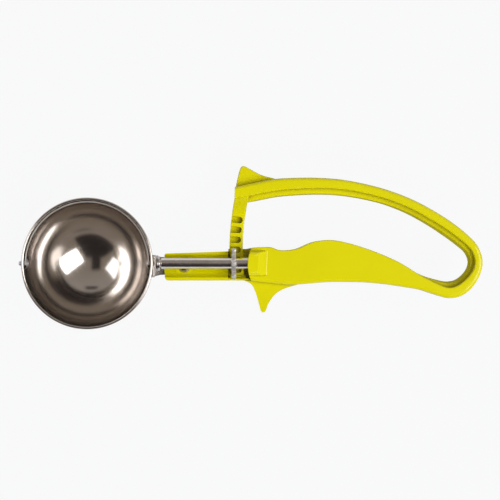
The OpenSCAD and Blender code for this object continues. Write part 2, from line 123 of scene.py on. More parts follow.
def spun_polish():
    """Fine rings left by spinning and polishing about the Z axis of the bowl."""
    tree, given, result = new_group(
        "spun_polish",
        [("Colour", "NodeSocketColor", (0.6, 0.57, 0.54, 1)),
         ("Tarnish", "NodeSocketColor", (0.5, 0.46, 0.42, 1)),
         ("Roughness", "NodeSocketFloat", 0.12),
         ("Ring scale", "NodeSocketFloat", 900.0)])
    centre = tree.nodes.new("ShaderNodeMapping")
    centre.inputs["Location"].default_value = -BOWL_CENTRE
    tree.links.new(object_coords(tree), centre.inputs["Vector"])
    split = tree.nodes.new("ShaderNodeSeparateXYZ")
    tree.links.new(centre.outputs["Vector"], split.inputs["Vector"])
    flat = tree.nodes.new("ShaderNodeCombineXYZ")
    for axis in "XY":
        tree.links.new(split.outputs[axis], flat.inputs[axis])
    radius = tree.nodes.new("ShaderNodeVectorMath")
    radius.operation = "LENGTH"
    tree.links.new(flat.outputs["Vector"], radius.inputs[0])
    # Radius plus height changes all the way down the ball, so that its rings stay even.
    rings = tree.nodes.new("ShaderNodeTexNoise")
    rings.noise_dimensions = "1D"
    rings.inputs["Detail"].default_value = 6
    tree.links.new(maths(tree, "ADD", radius.outputs["Value"], split.outputs["Z"]),
                   rings.inputs["W"])
    tree.links.new(given["Ring scale"], rings.inputs["Scale"])
    cloud = noise(tree, centre.outputs["Vector"], scale=60, detail=3)
    patch = ramp(tree, cloud, low=0.4, high=0.7)
    tree.links.new(mixed(tree, patch, given["Colour"], given["Tarnish"]), result["Colour"])
    uneven(tree, given, result, rings.outputs["Fac"], low=0.4, high=0.7, least=0.85, most=1.5)
    return tree


def drawn_grain():
    """Hair lines of a drawn or sheared steel part, stretched along one axis."""
    tree, given, result = new_group(
        "drawn_grain",
        [("Colour", "NodeSocketColor", (0.6, 0.58, 0.56, 1)),
         ("Roughness", "NodeSocketFloat", 0.2),
         ("Stretch", "NodeSocketVector", (0.05, 1.0, 1.0))])
    coords = object_coords(tree)
    stretched = tree.nodes.new("ShaderNodeVectorMath")
    stretched.operation = "MULTIPLY"
    tree.links.new(coords, stretched.inputs[0])
    tree.links.new(given["Stretch"], stretched.inputs[1])
    hair = noise(tree, stretched.outputs["Vector"], scale=4000, detail=4)
    cloud = noise(tree, coords, scale=150, detail=2)
    dull = ramp(tree, cloud, low=0.3, high=0.8, start=1.0, end=0.8)
    shade = tree.nodes.new("ShaderNodeVectorMath")
    shade.operation = "SCALE"
    tree.links.new(given["Colour"], shade.inputs[0])
    tree.links.new(dull, shade.inputs["Scale"])
    tree.links.new(shade.outputs["Vector"], result["Colour"])
    uneven(tree, given, result, hair, low=0.2, high=0.8, least=0.7, most=1.4)
    return tree


def moulded_skin_and_shade():
    """Slight unevenness of a glossy moulded surface, and painted shade that darkens it inside its
    hollows.
    """
    tree, given, result = new_group(
        "moulded_skin_and_shade",
        [("Colour", "NodeSocketColor", (0.72, 0.68, 0.0, 1)),
         ("Deep", "NodeSocketColor", (0.62, 0.56, 0.0, 1)),
         ("Painted shade", "NodeSocketColor", (0.3, 0.22, 0.0, 1)),
         ("Roughness", "NodeSocketFloat", 0.25)])
    coords = object_coords(tree)
    flow = ramp(tree, noise(tree, coords, scale=35, detail=3), low=0.35, high=0.75)
    nylon = mixed(tree, flow, given["Colour"], given["Deep"])
    # Painted shade: where ambient occlusion finds walls close by, in notches, grooves and corners,
    # the colour turns to the dark shade colour.
    occlusion = tree.nodes.new("ShaderNodeAmbientOcclusion")
    occlusion.samples = 8
    occlusion.inputs["Distance"].default_value = 2.6 * MM
    unshaded = ramp(tree, occlusion.outputs["AO"], low=0.15, high=0.8, smooth=True)
    tree.links.new(mixed(tree, unshaded, given["Painted shade"], nylon), result["Colour"])
    peel = noise(tree, coords, scale=900, detail=2)
    uneven(tree, given, result, peel, low=0.3, high=0.7, least=0.8, most=1.25)
    return tree


# ---------------------------------------------------------------- materials

POLISH, GRAIN, SKIN_AND_SHADE = spun_polish(), drawn_grain(), moulded_skin_and_shade()
# Depth of the relief on steel, on its cut edges and on nylon, in metres
STEEL_RELIEF, CUT_RELIEF, NYLON_RELIEF = 0.00002, 0.00003, 0.00005


def finish_material(name, group, values, strength, depth, **sockets):
    """The group with its own values, and the shader's sockets that are the same all over."""
    material = bpy.data.materials.new(name)
    material.use_nodes = True
    tree = material.node_tree
    shader = tree.nodes["Principled BSDF"]
    effect = tree.nodes.new("ShaderNodeGroup")
    effect.node_tree = group
    for label, value in values.items():
        effect.inputs[label].default_value = value
    relief = tree.nodes.new("ShaderNodeBump")
    relief.inputs["Strength"].default_value = strength
    relief.inputs["Distance"].default_value = depth
    tree.links.new(effect.outputs["Height"], relief.inputs["Height"])
    tree.links.new(relief.outputs["Normal"], shader.inputs["Normal"])
    tree.links.new(effect.outputs["Colour"], shader.inputs["Base Color"])
    tree.links.new(effect.outputs["Roughness"], shader.inputs["Roughness"])
    for label, value in sockets.items():
        shader.inputs[label.replace("_", " ")].default_value = value
    return material


BOWL_STEEL = finish_material(
    "bowl_steel", POLISH,
    {"Colour": (0.8, 0.755, 0.715, 1), "Tarnish": (0.74, 0.69, 0.65, 1), "Roughness": 0.13,
     "Ring scale": 2200.0}, 0.05, STEEL_RELIEF, Metallic=1.0)
BLADE_STEEL = finish_material(
    "blade_steel", POLISH,
    {"Colour": (0.66, 0.63, 0.6, 1), "Tarnish": (0.6, 0.56, 0.52, 1), "Roughness": 0.14,
     "Ring scale": 1200.0}, 0.05, STEEL_RELIEF, Metallic=1.0)
STRAP_STEEL = finish_material(
    "strap_steel", GRAIN,
    {"Colour": (0.6, 0.57, 0.54, 1), "Roughness": 0.22, "Stretch": (0.05, 1, 1)},
    0.1, STEEL_RELIEF, Metallic=1.0)
SHAFT_STEEL = finish_material(
    "shaft_steel", GRAIN,
    {"Colour": (0.92, 0.88, 0.86, 1), "Roughness": 0.2, "Stretch": (0.4, 0.1, 0.1)},
    0.02, STEEL_RELIEF, Metallic=1.0)
PINION_STEEL = finish_material(
    "pinion_steel", GRAIN,
    {"Colour": (0.97, 0.95, 0.94, 1), "Roughness": 0.42, "Stretch": (1, 0.3, 0.3)},
    0.15, STEEL_RELIEF, Metallic=1.0)
CUT_STEEL = finish_material(
    "cut_edge_steel", GRAIN,
    {"Colour": (0.75, 0.7, 0.67, 1), "Roughness": 0.5, "Stretch": (1, 1, 0.1)},
    0.15, CUT_RELIEF, Metallic=1.0)
RIVET_STEEL = finish_material(
    "rivet_steel", GRAIN,
    {"Colour": (0.72, 0.7, 0.7, 1), "Roughness": 0.33, "Stretch": (1, 1, 0.2)},
    0.1, STEEL_RELIEF, Metallic=1.0)
# The nylon's last colour is painted shade, laid into the moulding's hollows by the skin group.
NYLON = finish_material(
    "handle_nylon", SKIN_AND_SHADE,
    {"Colour": (0.75, 0.7, 0.0, 1), "Deep": (0.71, 0.655, 0.0, 1),
     "Painted shade": (0.3, 0.235, 0.0, 1), "Roughness": 0.13}, 0.04, NYLON_RELIEF)
# The rib's side is duller: its mould was left rough there. Its colour is a little darker than the
# nylon elsewhere, as painted shade on the rib's side faces.
SHADED_RIB_NYLON = finish_material(
    "rib_nylon_shaded", SKIN_AND_SHADE,
    {"Colour": (0.72, 0.67, 0.0, 1), "Deep": (0.68, 0.625, 0.0, 1),
     "Painted shade": (0.25, 0.2, 0.0, 1), "Roughness": 0.5}, 0.04, NYLON_RELIEF,
    Specular_IOR_Level=0.08)

FINISH = {
    "bowl": BOWL_STEEL, "sweep_blade": BLADE_STEEL, "bowl_bracket": STRAP_STEEL,
    "neck_bush": STRAP_STEEL, "thrust_washer": SHAFT_STEEL, "cradle_rivet": RIVET_STEEL,
    "burr_washer": RIVET_STEEL, "drive_shaft": SHAFT_STEEL, "pinion": PINION_STEEL,
    "pivot_pin": RIVET_STEEL, "handle_grip": NYLON, "spring_bend": NYLON, "squeeze_arm": NYLON}


# ---------------------------------------------------------------- mesh tools

# In metres: how far apart two points are that count as one on a new mesh, and on one whose
# numbers were rounded, and how far off a point of the part may lie that is looked for
ONE_POINT, SAME_PLACE, ABOUT = 1e-7, 1e-6, 5e-5
# Faces that meet at less than the first angle are shaded as one surface, and those that
# meet at less than the second one become one face.
CREASE, FLAT = math.radians(35), math.radians(0.3)


def at(x, y, z):
    """A point given on the shaft's axis in millimetres, in the row frame."""
    return BOWL_CENTRE + Vector((x, y, z)) * MM


def spline(points, u):
    """Catmull-Rom value of a list of tuples at position u, counted in points."""
    last = len(points) - 1
    i = min(int(u), last - 1)
    t = u - i
    a, b, c, d = (points[k] for k in (max(i - 1, 0), i, i + 1, min(i + 2, last)))
    return [0.5 * (2 * q + t * (r - p) + t * t * (2 * p - 5 * q + 4 * r - s)
                   + t ** 3 * (3 * q - p - 3 * r + s)) for p, q, r, s in zip(a, b, c, d)]


def clamped(value):
    """The value, held between 0 and 1."""
    return min(max(value, 0), 1)


def loft(bm, count, place, corners=4):
    """A tube open at both ends: a grid wrapped round, whose points place(row, corner) sets."""
    grid = bmesh.ops.create_grid(bm, x_segments=count - 1, y_segments=corners, size=1.0)["verts"]
    for vert in grid:
        row = round((vert.co.x + 1) / 2 * (count - 1))
        corner = round((vert.co.y + 1) / 2 * corners) % corners
        vert.co = place(row, corner)
    bmesh.ops.remove_doubles(bm, verts=grid, dist=ONE_POINT)


def close(bm):
    """Fill the open ends and turn every face outwards."""
    bmesh.ops.holes_fill(bm, edges=[e for e in bm.edges if e.is_boundary], sides=0)
    bmesh.ops.recalc_face_normals(bm, faces=bm.faces)


def slab(bm, outline, rise):
    """A flat outline drawn out upwards by the rise, in millimetres."""
    face = bm.faces.new([bm.verts.new(point) for point in outline])
    wall = bmesh.ops.extrude_face_region(bm, geom=[face])["geom"]
    bmesh.ops.translate(bm, vec=(0, 0, rise * MM),
                        verts=[g for g in wall if isinstance(g, bmesh.types.BMVert)])
    bmesh.ops.recalc_face_normals(bm, faces=bm.faces)


def append(bm, part):
    """Move the part's mesh into the mesh."""
    mesh = bpy.data.meshes.new("part")
    part.to_mesh(mesh)
    part.free()
    bm.from_mesh(mesh)
    bpy.data.meshes.remove(mesh)


def sharp_edges(bm, degrees, test=lambda edge: True):
    """Convex edges sharper than this angle that pass the test."""
    return [e for e in bm.edges if e.is_manifold and e.is_convex
            and e.calc_face_angle(0) > math.radians(degrees) and test(e)]


def round_off(bm, edges, radius, segments=3, clamp=True):
    """Round the edges off with a radius in millimetres."""
    bmesh.ops.bevel(bm, geom=edges, offset=radius * MM, offset_type="OFFSET", segments=segments,
                    profile=0.5, affect="EDGES", clamp_overlap=clamp, material=-1)


def add_piece(name, bm, material, body, nodes):
    """The finished piece, soft over its roundings and flat where it was flat."""
    bmesh.ops.dissolve_degenerate(bm, dist=SAME_PLACE, edges=bm.edges)
    bm.normal_update()
    for face in bm.faces:
        face.smooth = True
    for edge in bm.edges:
        edge.smooth = edge.calc_face_angle(0) < CREASE
    mesh = bpy.data.meshes.new(name)
    bm.to_mesh(mesh)
    bm.free()
    mesh.materials.append(material)
    piece = bpy.data.objects.new(name, mesh)
    bpy.context.scene.collection.objects.link(piece)
    normals = piece.modifiers.new("flat faces stay flat", "WEIGHTED_NORMAL")
    normals.keep_sharp = True
    if body:
        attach(piece, body)
    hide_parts(*nodes)
    return piece


def cad_copy(node):
    """A node's mesh, merged, with one face on each of its flat sides."""
    bm = bmesh.new()
    bm.from_mesh(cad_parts[node].data)
    bmesh.ops.remove_doubles(bm, verts=bm.verts, dist=2 * SAME_PLACE)
    bmesh.ops.dissolve_limit(bm, angle_limit=FLAT, verts=bm.verts, edges=bm.edges)
    return bm


def lathe(profile, axis, foot=(0, 0, 0), segments=64):
    """Spin (height, radius) points about the X or Z axis through a foot point."""
    bm = bmesh.new()
    x0, y0, z0 = foot
    if axis == "X":
        verts = [bm.verts.new(at(x0 + h, y0 + r, z0)) for h, r in profile]
    else:
        verts = [bm.verts.new(at(x0 + r, y0, z0 + h)) for h, r in profile]
    edges = [bm.edges.new(pair) for pair in zip(verts, verts[1:])]
    bmesh.ops.spin(bm, geom=verts + edges, cent=at(*foot), dvec=(0, 0, 0), steps=segments,
                   axis=(1, 0, 0) if axis == "X" else (0, 0, 1), angle=2 * math.pi,
                   use_merge=True, use_duplicate=False)
    bmesh.ops.remove_doubles(bm, verts=bm.verts, dist=SAME_PLACE)
    bmesh.ops.recalc_face_normals(bm, faces=bm.faces)
    return bm


def arc(height, radius, size, start, end, count):
    """Points (height, radius) of an arc; its angles are measured from the plane of the radius."""
    turns = [math.radians(start + (end - start) * i / count) for i in range(count + 1)]
    return [(height + size * math.sin(a), radius + size * math.cos(a)) for a in turns]


def dome(height, radius, rise, count=8):
    """Points of a low dome from its rim at a height to its top on the axis."""
    ball = (radius ** 2 + rise ** 2) / (2 * abs(rise))
    side = math.copysign(1, rise)
    half = math.asin(radius / ball)
    return [(height + rise + side * (ball * math.cos(a) - ball), ball * math.sin(a))
            for a in (half * (1 - i / count) for i in range(count + 1))]


def cut(bm, tools):
    """The mesh less each tool."""
    objects = []
    for i, part in enumerate([bm] + tools):
        mesh = bpy.data.meshes.new("cut_%d" % i)
        part.to_mesh(mesh)
        part.free()
        objects.append(bpy.data.objects.new("cut_%d" % i, mesh))
        bpy.context.scene.collection.objects.link(objects[-1])
    for tool in objects[1:]:
        modifier = objects[0].modifiers.new("less", "BOOLEAN")
        modifier.operation = "DIFFERENCE"
        modifier.solver = "EXACT"
        modifier.object = tool
    result = bmesh.new()
    result.from_object(objects[0], bpy.context.evaluated_depsgraph_get())
    for obj in objects:
        mesh = obj.data
        bpy.data.objects.remove(obj)
        bpy.data.meshes.remove(mesh)
    return result


def drill(start, end, radius, axis="X", foot=(0, 0, 0)):
    """A rod to cut a hole with."""
    return lathe([(start, 0), (start, radius), (end, radius), (end, 0)], axis, foot, segments=48)


# ---------------------------------------------------------------- handle

FRONT, BACK, RIB_SET = 2.0, -13.0, 4.0
HANDLE_END = 167.1
FLEX_X, FLEX_Y = 162.5, 6.0
NOSE_X, RIDGE_END, RIDGE_FOOT = 67.7, 75.8, 2.75
CRADLE_LIP, GROOVE_HALF = 2.5, 6

# Stations of the loop: x, y of its outer edge, angle of the section, band, rib
LOOP = [
    (62.3, 32.3, 268, 5.0, 2.4), (70.5, 34.1, 281, 5.0, 2.6), (79.0, 35.7, 276, 5.0, 2.6),
    (88.0, 36.2, 272, 4.7, 2.6), (97.5, 36.2, 268, 4.4, 2.6), (107.0, 35.5, 263, 4.1, 2.6),
    (117.0, 33.7, 257, 3.9, 2.5), (127.0, 31.0, 252, 3.8, 2.3), (137.0, 27.2, 247, 3.8, 2.1),
    (146.0, 22.5, 241, 3.9, 1.8), (153.9, 17.5, 235, 3.8, 1.7), (160.8, 12.0, 225, 3.6, 1.6),
    (165.2, 7.0, 208, 3.3, 1.5), (167.1, 0.8, 180, 3.3, 1.4), (165.9, -5.0, 158, 3.7, 1.2),
    (162.6, -10.3, 136, 4.5, 1.1), (158.0, -13.8, 110, 4.7, 1.4), (152.5, -14.7, 90, 4.5, 1.8),
    (146.5, -13.1, 84, 4.9, 1.3), (140.5, -11.2, 90, 6.3, 0.5), (133.0, -9.9, 90, 9.7, 0),
    (125.4, -8.8, 90, 12.2, 0), (117.8, -8.1, 90, 14.4, 0), (110.2, -7.9, 90, 16.5, 0),
    (102.6, -7.9, 90, 17.8, 0), (95.0, -8.4, 90, 17.4, 0), (88.0, -9.0, 90, 15.1, 0)]
# The loop joins the grip at one station, and the rib runs out at another.
GRIP_JOIN, RIB_OUT, LOOP_STEPS = 25, 20, 8
# Outline of the thumb guard, whose last point is hidden in the arm
UPPER_GUARD = [(62.4, 31.0), (63.2, 35.2), (64.6, 40.3), (66.1, 41.3), (68.6, 40.1), (73.6, 37.5),
               (79.6, 35.8), (84, 33.5)]
GUARD_STEPS = 6
# Short steps at the nose, first the point that they are brought to: on front and back alike,
# and on the front alone
NOSE_STEPS = [((70, -7.5), (70, -7.15)), ((70, 6.7), (70, 6.44))]
NOSE_FRONT_STEPS = [((68.31, -5.1), (68.52, -5.79), (68.76, -6.48)),
                    ((68.7, 5.1), (68.86, 5.52), (69.03, 5.94))]
# Rib: how deep it is sunk into the band, draft of its sides, half its crest's flat, and how
# far it stays under the source's rib
RIB_ROOT, RIB_DRAFT, CREST_HALF, RIB_UNDER = 1.5, 0.3, 0.2, 0.04
# Round the bend the rib stands prouder and has more draft: the station where this starts,
# the stations that it takes to come, the one where it ends, and those that it takes to go
BEND_START, BEND_IN, BEND_END, BEND_OUT = 7, 3, 18.5, 2
BEND_PROUD, BEND_DRAFT = 0.9, 0.6
# In metres: how far off a corner of the nose may lie from its place above, and how far
# apart the grip's front end and the loop may be where they meet
NOSE_NEAR, SEAM = 2e-5, 3e-5
# Radius and number of facets of each rounding
ROUND = {"outside": (1.6, 6), "inside": (0.6, 3), "lip": (0.3, 3), "groove": (0.45, 4),
         "brow": (0.35, 3), "foot": (0.4, 3), "rib": (0.35, 3), "guard": (0.6, 4)}


def loop_point(u, depth, z):
    """A point at station u of the loop, at a depth in from its outer edge."""
    x, y, angle, _, _ = spline(LOOP, u)
    turn = math.radians(angle)
    return at(min(x + depth * math.cos(turn), HANDLE_END), y + depth * math.sin(turn), z)


def round_part(bm, edges, place):
    """Round a place of the moulding off, also where two roundings meet."""
    radius, segments = ROUND[place]
    round_off(bm, edges, radius, segments, False)


def gather(bm, z, goal, *points):
    """Bring the vertices of one level at the points to the goal."""
    places = [at(x, y, z) for x, y in (goal,) + points]
    verts = [v for v in bm.verts if any((v.co - place).length < NOSE_NEAR for place in places)]
    bmesh.ops.pointmerge(bm, verts=verts, merge_co=places[0])


def band(row, corner):
    """A corner of the loop's flat band."""
    u = row / LOOP_STEPS
    depth = 0 if corner in (0, 3) else spline(LOOP, u)[3]
    return loop_point(u, depth, FRONT if corner < 2 else BACK)


def round_long_edges(bm, join, rows):
    """The edges all round the front and the back, fuller outside the loop than inside it."""
    levels = [at(0, 0, z).z for z in (FRONT, BACK)]
    outline = {tuple(round(c, 6) for c in loop_point(i / LOOP_STEPS, 0, 0).xy)
               for i in range(rows)}
    # The grip's outer edge runs beyond this line on its way from the loop to the nose.
    grip_side = at(0, -7, 0).y
    # The loop's inside starts behind the nose, and ends at the arm's free end.
    inside_nose, arm_end = at(69.1, 0, 0).x, at(62.8, 20, 0)

    def on_face(edge):
        return any(all(abs(v.co.z - z) < SAME_PLACE for v in edge.verts) for z in levels)

    def on_outside(edge):
        return on_face(edge) and all(
            tuple(round(c, 6) for c in v.co.xy) in outline
            or v.co.x < join.x and v.co.y < grip_side for v in edge.verts)

    def on_inside(edge):
        return on_face(edge) \
            and all(v.co.x > inside_nose or v.co.y > arm_end.y for v in edge.verts) \
            and any(v.co.x > arm_end.x for v in edge.verts)
    round_part(bm, sharp_edges(bm, 60, on_outside), "outside")
    round_part(bm, sharp_edges(bm, 60, on_inside), "inside")


def round_cradle(bm):
    """The cradle's lip and its groove's edge, and the ridge's brow and foot."""
    lip, crest = at(0, 0, -CRADLE_LIP).z, at(0, 0, RIDGE_FOOT).z
    brow = (at(NOSE_X - 1, 0, 0).x, at(RIDGE_END + 1, 0, 0).x)
    # The lip on the arm's side is too narrow to be rounded.
    wide_side, groove_y = at(0, -4, 0).y, at(0, -GROOVE_HALF, 0).y
    lips = sharp_edges(bm, 40, lambda e: all(
        abs(v.co.z - lip) < SAME_PLACE and v.co.x < brow[0] and v.co.y < wide_side
        for v in e.verts))
    groove = [e for e in lips if all(abs(v.co.y - groove_y) < ABOUT for v in e.verts)]
    round_part(bm, [e for e in lips if e not in groove], "lip")
    round_part(bm, [e for e in groove if e.is_valid], "groove")
    round_part(bm, sharp_edges(bm, 40, lambda e: all(
        v.co.z > crest and brow[0] < v.co.x < brow[1] for v in e.verts)), "brow")
    foot = at(RIDGE_END, 0, FRONT)
    round_part(bm, [e for e in bm.edges if e.is_manifold and not e.is_convex and all(
        abs(v.co.z - foot.z) < SAME_PLACE and abs(v.co.x - foot.x) < ABOUT
        for v in e.verts)], "foot")


def build_rib():
    """The rib along the middle of the loop's inner side, drafted to a narrow crest."""
    def rib(row, corner):
        u = row / LOOP_STEPS
        _, _, _, wide, proud = spline(LOOP, u)
        bent = clamped((u - BEND_START) / BEND_IN) * clamped((BEND_END - u) / BEND_OUT)
        depth = wide - RIB_ROOT
        on_crest = corner in (2, 3)
        if corner not in (0, 5):
            proud += bent * BEND_PROUD
            draft = 0 if on_crest else RIB_DRAFT + BEND_DRAFT * bent
            depth = max(wide + proud - RIB_UNDER - draft, depth)
        if on_crest:
            z = (FRONT + BACK) / 2 + (CREST_HALF if corner == 2 else -CREST_HALF)
        else:
            z = FRONT - RIB_SET if corner < 2 else BACK + RIB_SET
        return loop_point(u, depth, z)
    bm = bmesh.new()
    loft(bm, RIB_OUT * LOOP_STEPS, rib, 6)
    close(bm)
    round_part(bm, sharp_edges(bm, 60), "rib")
    bm.normal_update()
    # The rib's side faces take the second material, whose darker colour is painted shade.
    for face in bm.faces:
        side = abs(face.normal.z) < 0.5
        face.material_index = 1 if side else 0
    return bm


def build_thumb_guard():
    """The guard on the arm's end, as thick as the rib."""
    bm = bmesh.new()
    count = (len(UPPER_GUARD) - 1) * GUARD_STEPS + 1
    slab(bm, [at(*spline(UPPER_GUARD, i / GUARD_STEPS), BACK + RIB_SET) for i in range(count)],
         FRONT - BACK - 2 * RIB_SET)
    round_part(bm, sharp_edges(bm, 60), "guard")
    return bm


def build_moulding():
    """The one-piece handle: the grip's front end from the part, then the loop round to the arm."""
    join = at(LOOP[GRIP_JOIN][0], 0, 0)
    bm = cad_copy("handle_grip")
    bmesh.ops.bisect_plane(bm, geom=bm.verts[:] + bm.edges[:] + bm.faces[:], dist=ONE_POINT,
                           plane_co=join, plane_no=(1, 0, 0), clear_outer=True)
    # Even out the short steps at the nose, so that its long edges can be rounded to their ends.
    for z, corners in ((FRONT, NOSE_STEPS), (BACK, NOSE_STEPS), (FRONT, NOSE_FRONT_STEPS)):
        for corner in corners:
            gather(bm, z, *corner)
    rows = GRIP_JOIN * LOOP_STEPS + 1
    loft(bm, rows, band)
    bmesh.ops.remove_doubles(bm, verts=bm.verts, dist=SEAM)
    close(bm)
    round_long_edges(bm, join, rows)
    round_cradle(bm)
    append(bm, build_rib())
    append(bm, build_thumb_guard())
    return bm


moulding = add_piece("handle_moulding", build_moulding(), NYLON, None,
                     ["handle_grip", "spring_bend", "squeeze_arm"])
# Second slot: the rib's side, nylon painted a little darker as shade.
moulding.data.materials.append(SHADED_RIB_NYLON)
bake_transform(moulding)


# ---------------------------------------------------------------- rack

TEETH, PITCH_R, PINION_X, PHASE = 8, 5.5, 61.9, 1.45
RACK_OUT, RACK_IN, RACK_LOW = 102.6, 96.9, -10.0
# Heights of the bar's sections, from its free end to the arm's end
RACK_HEIGHTS = [-5.5, 0, 6, 12, 17, 20.5, 22, 24, 26, 28, 30]
# Under the arm the bar grows to the front and to the back: start, way, growth.
FRONT_GUSSET, BACK_GUSSET = (21.5, 6.5, PITCH_R + 1.2), (25, 3, 2.2)
NOTCH_H, NOTCH_W, NOTCH_DEPTH, NOTCH_STEPS = 2.75, 4.9, 2.6, 10
# Notches are counted from the one that the pinion stands in at rest.
FIRST_NOTCH, LAST_NOTCH = -1, 4
# The cutters stand out this far beyond the bar.
NOTCH_SPARE = 1


def build_rack():
    """The rack bar under the arm's end, swept about the point of flexing, and its gusset."""
    def growth(y, start, way, most):
        return most * clamped((y - start) / way)

    def bar(row, corner):
        y = RACK_HEIGHTS[row]
        radius = RACK_OUT if corner in (0, 3) else RACK_IN
        x = FLEX_X - math.sqrt(radius ** 2 - (y - FLEX_Y) ** 2)
        return at(x, y, -PITCH_R + growth(y, *FRONT_GUSSET) if corner < 2
                  else RACK_LOW - growth(y, *BACK_GUSSET))
    bm = bmesh.new()
    loft(bm, len(RACK_HEIGHTS), bar)
    close(bm)
    round_off(bm, sharp_edges(bm, 28), radius=0.35)
    bm = cut(bm, [notch(i) for i in range(FIRST_NOTCH, LAST_NOTCH + 1)])
    brim = at(0, 0, -PITCH_R).z
    rims = sharp_edges(bm, 60, lambda e: all(abs(v.co.z - brim) < SAME_PLACE for v in e.verts))
    round_off(bm, rims, radius=0.25, segments=2)
    return bm


def notch(i):
    """The i-th notch's cutter: straight sides, and a round end away from the bowl."""
    reach = FLEX_X - PINION_X
    mesh_arm = reach / math.cos(math.atan(FLEX_Y / reach)) ** 2
    step = 2 * math.pi * PITCH_R / TEETH / mesh_arm
    turn = -(math.atan((PHASE - FLEX_Y) / reach) + i * step)
    half = NOTCH_H / 2
    middle = NOTCH_W - half - RACK_OUT
    outer = -RACK_OUT - NOTCH_SPARE
    outline = [(outer, -half), (middle, -half)] \
        + [(middle + half * math.sin(a), -half * math.cos(a))
           for a in (math.pi * k / NOTCH_STEPS for k in range(1, NOTCH_STEPS))] \
        + [(middle, half), (outer, half)]
    part = bmesh.new()
    slab(part, [at(FLEX_X + x * math.cos(turn) - y * math.sin(turn),
                   FLEX_Y + x * math.sin(turn) + y * math.cos(turn),
                   -PITCH_R - NOTCH_DEPTH) for x, y in outline], NOTCH_DEPTH + NOTCH_SPARE)
    return part


add_piece("rack_leg", build_rack(), NYLON, "lever", ["squeeze_arm"])


# ---------------------------------------------------------------- bowl and strap

BOWL_R, BOWL_WALL, RIM_H, ROLL_R, ROLL_OUT = 26.7, 0.7, 3.2, 0.6, 0.4
BOWL_OUT = BOWL_R + BOWL_WALL
ROLL_MID = (RIM_H - ROLL_R, BOWL_OUT + ROLL_OUT - ROLL_R)
EDGE_R = ROLL_MID[1] - BOWL_R
PIN_HOLE_R, BUSH_HOLE_R, RIVET_HOLE_R = 1.1, 2.57, 1.52
# Heights at which the straight rim has a point, inside and outside
RIM_INSIDE, RIM_OUTSIDE = [1.4], [1.9, 0.8]


def build_bowl():
    """A spun half ball with a straight rim, whose edge is rolled outwards."""
    inside = arc(0, 0, BOWL_R, start=-90, end=0, count=40) + [(z, BOWL_R) for z in RIM_INSIDE]
    edge = arc(RIM_H - EDGE_R, ROLL_MID[1], EDGE_R, start=180, end=90, count=6) \
        + arc(*ROLL_MID, ROLL_R, start=80, end=-70, count=12)
    outside = [(z, BOWL_OUT) for z in RIM_OUTSIDE] \
        + arc(0, 0, BOWL_OUT, start=0, end=-90, count=32)
    return cut(lathe(inside + edge + outside, "Z", segments=160),
               [drill(-BOWL_OUT - 1, 0, PIN_HOLE_R), drill(0, BOWL_OUT + 1, BUSH_HOLE_R)])


add_piece("spun_bowl", build_bowl(), BOWL_STEEL, "handle", ["bowl"])

SADDLE_IN, SADDLE_OUT = BOWL_OUT + 0.08, BOWL_OUT + 1.58
CRADLE_MID, RIVET_X = -1.15, 40.7
RIVET_FOOT = (RIVET_X, CRADLE_MID, 0)
TANG_HALF, TANG_CORNER, STRAP_COLUMNS = 3.7, 0.8, 10
# Side view of the strap: x, z of its face away from the bowl, x, z of the other, share of curve
STRAP = [(51, -8.5, 51, -10, 0), (50.2, -8.5, 50.2, -10, 0), (42, -8.5, 42, -10, 0),
         (33, -8.5, 33, -10, 0), (30.2, -8.5, 29.6, -10, 0.2), (28.7, -8.35, 27.5, -9.9, 0.7)]
# Rows of the saddle: z on its outer and on its inner face
SADDLE_ROWS = [(-7.4, -8.9), (-6, -7.3), (-4.5, -5.4), (-3, -3.6), (-1.5, -1.8), (0, 0), (1.2, 1.0),
               (2.5, 1.8), (2.8, 1.9)]


def faces_round(corner, columns):
    """Whether a corner of a sheet's section is on its outer face, and its column there."""
    outer = corner <= columns
    return outer, corner if outer else 2 * columns + 1 - corner


def build_bracket():
    """The strap that holds the bowl: a tang in the cradle, and a saddle on the bowl's back."""
    def strap(row, corner):
        outer, column = faces_round(corner, STRAP_COLUMNS)
        share = 1.0 if row >= len(STRAP) else STRAP[row][4]
        half = TANG_HALF + share
        if row == 0:
            half -= TANG_CORNER
        y = CRADLE_MID + half * (2 * column / STRAP_COLUMNS - 1)
        ball = SADDLE_OUT if outer else SADDLE_IN
        if row < len(STRAP):
            x, z = STRAP[row][0:2] if outer else STRAP[row][2:4]
            return at(x - share * (ball - math.sqrt(ball ** 2 - y ** 2)), y, z)
        z = SADDLE_ROWS[row - len(STRAP)][0 if outer else 1]
        return at(math.sqrt(ball ** 2 - y ** 2 - min(z, 0) ** 2), y, z)
    bm = bmesh.new()
    loft(bm, len(STRAP) + len(SADDLE_ROWS), strap, 2 * (STRAP_COLUMNS + 1))
    close(bm)
    round_off(bm, sharp_edges(bm, 40), radius=0.3)
    return cut(bm, [drill(0, SADDLE_OUT + 1, BUSH_HOLE_R),
                    drill(-12, -6, RIVET_HOLE_R, "Z", RIVET_FOOT)])


add_piece("bowl_strap", build_bracket(), STRAP_STEEL, "handle", ["bowl_bracket"])


# ---------------------------------------------------------------- turned pieces

def turned(name, profile, material, body, node, axis="X", foot=(0, 0, 0), edge=0.12):
    """A piece from the lathe, with its sharp edges broken."""
    bm = lathe(profile, axis, foot)
    round_off(bm, sharp_edges(bm, 40), edge, segments=2)
    add_piece(name, bm, material, body, [node])


def ring(start, end, bore, radius):
    """A plain washer's profile."""
    return [(start, bore), (start, radius), (end, radius), (end, bore), (start, bore)]


